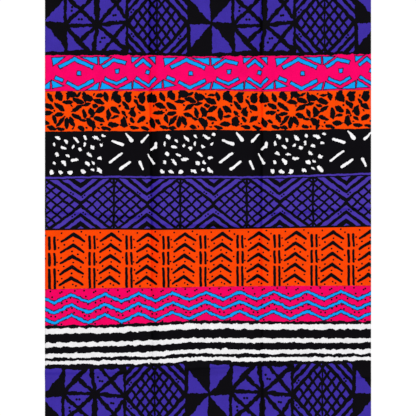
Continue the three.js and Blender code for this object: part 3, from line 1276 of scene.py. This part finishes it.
def drawChevrons(tree, point):
    chart = chevronBand
    drawn = widened(tree, wander(tree, point, *chart["wander"]), chart)
    measured = shifted(tree, drawn, chart["start"], chart["top"], -1)
    upright = wrapped(tree, measured, chart["left"], chart["left"] + chart["repeat"])
    shapes = nearest(tree, chevronShapes(tree, upright))
    return layInk(tree, point, shapes, inks["orange"], inks["black"], chart["ragged"], chart["inkSpread"])


# blue zigzags on pink

zigzagBand = {
    "halfRepeat": 47.3,
    "start": -431.1,
    "top": drawnFrom["zigzags"],
    "height": 100.4,
    "wander": (2.2, 13),
    "dotRagged": 0.6,
    "edgeWander": (3, 22), "edgeRagged": 0.6,
    "border": 1.6,  # how far the black below reaches over the pink
    "seam": 0.9,
    "bruise": 2.1, "core": -0.6,
    "valleys": (37.5, 65, 93),
    "rise": 21.4,
    "half": 3.7,
    "dotRadius": 2.7,
    # dots between the zigzags, measured from a valley and down from the band's upper edge
    "dots": [
        {"x": -37, "y": 6}, {"x": -11, "y": 6}, {"x": 21, "y": 8}, {"x": 16, "y": 11}, {"x": -6, "y": 22},
        {"x": -29, "y": 36}, {"x": 0, "y": 43}, {"x": 21, "y": 39}, {"x": 35, "y": 34}, {"x": 46, "y": 25},
        {"x": -39, "y": 65}, {"x": -15, "y": 65}, {"x": -9, "y": 74}, {"x": 3, "y": 75}, {"x": 22, "y": 64},
        {"x": 35, "y": 58}, {"x": -45, "y": 53}, {"x": 31, "y": 83}, {"x": 11, "y": 93}, {"x": 20, "y": 96},
    ],
}


def drawZigzags(tree, point):
    chart = zigzagBand
    half = chart["halfRepeat"]
    drawn = wander(tree, point, *chart["wander"])
    x, y = split(tree, shifted(tree, drawn, chart["start"], chart["top"], -1))
    lifted = maths(tree, "MULTIPLY_ADD", maths(tree, "PINGPONG", x, half), chart["rise"] / half, y)
    slope = math.cos(math.atan(chart["rise"] / half))
    away = nearest(tree, (
        maths(tree, "ABSOLUTE", maths(tree, "SUBTRACT", lifted, valley)) for valley in chart["valleys"]
    ))
    line = maths(tree, "MULTIPLY_ADD", away, slope, -chart["half"])
    steady = wrapped(tree, shifted(tree, point, chart["start"], chart["top"], -1), -half, half)
    radius = chart["dotRadius"]
    dots = nearest(tree, (dot(tree, steady, row["x"], row["y"], radius) for row in chart["dots"]))
    colour = layInk(tree, point, dots, inks["rose"], inks["black"], chart["dotRagged"])
    colour = layInk(tree, point, line, colour, inks["bruise"], spread=chart["bruise"])
    colour = layInk(tree, point, line, colour, inks["blue"], spread=chart["core"])
    colour = layInk(tree, point, maths(tree, "SUBTRACT", y, chart["seam"]), colour, inks["brick"])
    waved = wander(tree, point, *chart["edgeWander"])
    edge = split(tree, shifted(tree, waved, 0, chart["top"], -1))[1]
    border = maths(tree, "SUBTRACT", chart["height"] - chart["border"], edge)
    return layInk(tree, point, border, colour, inks["black"], chart["edgeRagged"])


# white stripes on black

stripeBand = {
    "top": drawnFrom["stripes"],
    "wander": (3.3, 18),
    "inkSpread": -1.1, "ragged": 0.8,
    # white stripes, measured down from the band's upper edge
    "stripes": [
        {"from": 6.2, "to": 23},
        {"from": 46, "to": 60.4},
        {"from": 77.4, "to": 91.4},
        {"from": 98.8, "to": 111.2},
    ],
}


def drawStripes(tree, point):
    chart = stripeBand
    y = split(tree, shifted(tree, wander(tree, point, *chart["wander"]), 0, chart["top"], -1))[1]
    stripes = nearest(tree, (
        beyondStrip(tree, y, (row["from"] + row["to"]) / 2, (row["to"] - row["from"]) / 2)
        for row in chart["stripes"]
    ))
    return layInk(tree, point, stripes, inks["black"], inks["white"], chart["ragged"], chart["inkSpread"])


drawings = {
    "selvedge": lambda tree, point: inks["cotton"],
    "upperStars": lambda tree, point: drawStars(tree, point, starBand["upper"]),
    "lowerStars": lambda tree, point: drawStars(tree, point, starBand["lower"]),
    "strokes": drawStrokes,
    "leaves": drawLeaves,
    "spots": drawSpots,
    "lattice": drawLattice,
    "chevrons": drawChevrons,
    "zigzags": drawZigzags,
    "stripes": drawStripes,
}

# cloth and its finishes


def makeFinish(name):
    material = bpy.data.materials.new("waxPrint_" + name)
    material.use_nodes = True
    tree = material.node_tree
    tree.nodes.clear()
    uvMap = tree.nodes.new("ShaderNodeUVMap")
    uvMap.uv_map = "fabric"
    point = vectors(tree, "SCALE", uvMap.outputs[0], 1 / mm)
    colour = drawings[name](tree, point)
    # the painted shade along folds and creases, read from the cloth's vertices
    creaseShade = tree.nodes.new("ShaderNodeAttribute")
    creaseShade.attribute_name = "paintedCreaseShade"
    side = tree.nodes.new("ShaderNodeAttribute")
    side.attribute_name = "wrongSide"
    values = {"Point": point, "Colour": colour, "Painted Crease Shade": creaseShade.outputs["Fac"],
              "Wrong Side": side.outputs["Fac"]}
    woven = placeGroup(tree, "wovenCotton", values)
    bump = tree.nodes.new("ShaderNodeBump")
    bump.inputs["Strength"].default_value = wovenCotton["bumpStrength"]
    bump.inputs["Distance"].default_value = wovenCotton["bumpDepth"] * mm
    tree.links.new(woven["Height"], bump.inputs["Height"])
    shader = tree.nodes.new("ShaderNodeBsdfPrincipled")
    shader.inputs["Specular IOR Level"].default_value = wovenCotton["specular"]
    tree.links.new(woven["Colour"], shader.inputs["Base Color"])
    tree.links.new(woven["Roughness"], shader.inputs["Roughness"])
    tree.links.new(bump.outputs[0], shader.inputs["Normal"])
    output = tree.nodes.new("ShaderNodeOutputMaterial")
    tree.links.new(shader.outputs[0], output.inputs[0])
    print("finish:", name, len(tree.nodes), "nodes")
    return material


for build in (buildHandDrawn, buildStroke, buildBar, buildBlob, buildWedge, buildLayInk, buildWovenCotton):
    build()
cloth = makeCloth()
finishes = {}
for band in bands:
    if band["finish"] not in finishes:
        finishes[band["finish"]] = makeFinish(band["finish"])
    cloth.data.materials.append(finishes[band["finish"]])

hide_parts("cloth_panel")
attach(cloth, "root")

# floor, light and camera

# metres and degrees from here on
studio = {
    "floorSize": 12,
    "floorDrop": 0.0004,
    "floorColour": (0.93, 0.93, 0.93),
    "floorRoughness": 0.9,
    "floorSpecular": 0.1,
    "sunStrength": 2.55,
    "sunAngle": 32,
    "sunTilt": (-38, 6),  # degrees about x and y
    "skyStrength": 0.48,
    "backdropBrightness": 1,  # what the camera sees past the floor
    "frameHeight": 1.1669,  # how much of the cloth's length the picture takes in
    "lens": 85,
    "sensor": 36,
    "viewReach": 50,
}


def makeFloor():
    bm = bmesh.new()
    bmesh.ops.create_grid(bm, x_segments=4, y_segments=4, size=studio["floorSize"] / 2)
    bmesh.ops.translate(bm, vec=(0, 0, -studio["floorDrop"]), verts=bm.verts)
    mesh = bpy.data.meshes.new("floor")
    bm.to_mesh(mesh)
    bm.free()
    floor = bpy.data.objects.new("floor", mesh)
    bpy.context.scene.collection.objects.link(floor)
    material = bpy.data.materials.new("paleFloor")
    material.use_nodes = True
    shader = material.node_tree.nodes["Principled BSDF"]
    shader.inputs["Base Color"].default_value = (*studio["floorColour"], 1)
    shader.inputs["Roughness"].default_value = studio["floorRoughness"]
    shader.inputs["Specular IOR Level"].default_value = studio["floorSpecular"]
    floor.data.materials.append(material)


def makeLight():
    sun = bpy.data.lights.new("softSun", "SUN")
    sun.energy = studio["sunStrength"]
    sun.angle = math.radians(studio["sunAngle"])
    lamp = bpy.data.objects.new("softSun", sun)
    lamp.rotation_euler = [math.radians(turn) for turn in studio["sunTilt"]] + [0]
    bpy.context.scene.collection.objects.link(lamp)

    world = bpy.data.worlds.new("sky")
    world.use_nodes = True
    tree = world.node_tree
    seen = tree.nodes.new("ShaderNodeLightPath").outputs["Is Camera Ray"]
    extra = studio["backdropBrightness"] - studio["skyStrength"]
    sky = tree.nodes["Background"]
    sky.inputs[0].default_value = (1, 1, 1, 1)
    feed(tree, sky.inputs[1], maths(tree, "MULTIPLY_ADD", seen, extra, studio["skyStrength"]))
    bpy.context.scene.world = world


def makeCamera():
    camera = bpy.data.cameras.new("overhead")
    camera.lens = studio["lens"]
    camera.sensor_width = studio["sensor"]
    camera.clip_end = studio["viewReach"]
    holder = bpy.data.objects.new("overhead", camera)
    holder.location = (0, 0, studio["frameHeight"] * studio["lens"] / studio["sensor"])
    bpy.context.scene.collection.objects.link(holder)
    bpy.context.scene.camera = holder


makeFloor()
makeLight()
makeCamera()
bpy.context.scene.view_settings.view_transform = "Standard"
print("stage: floor, light and camera")
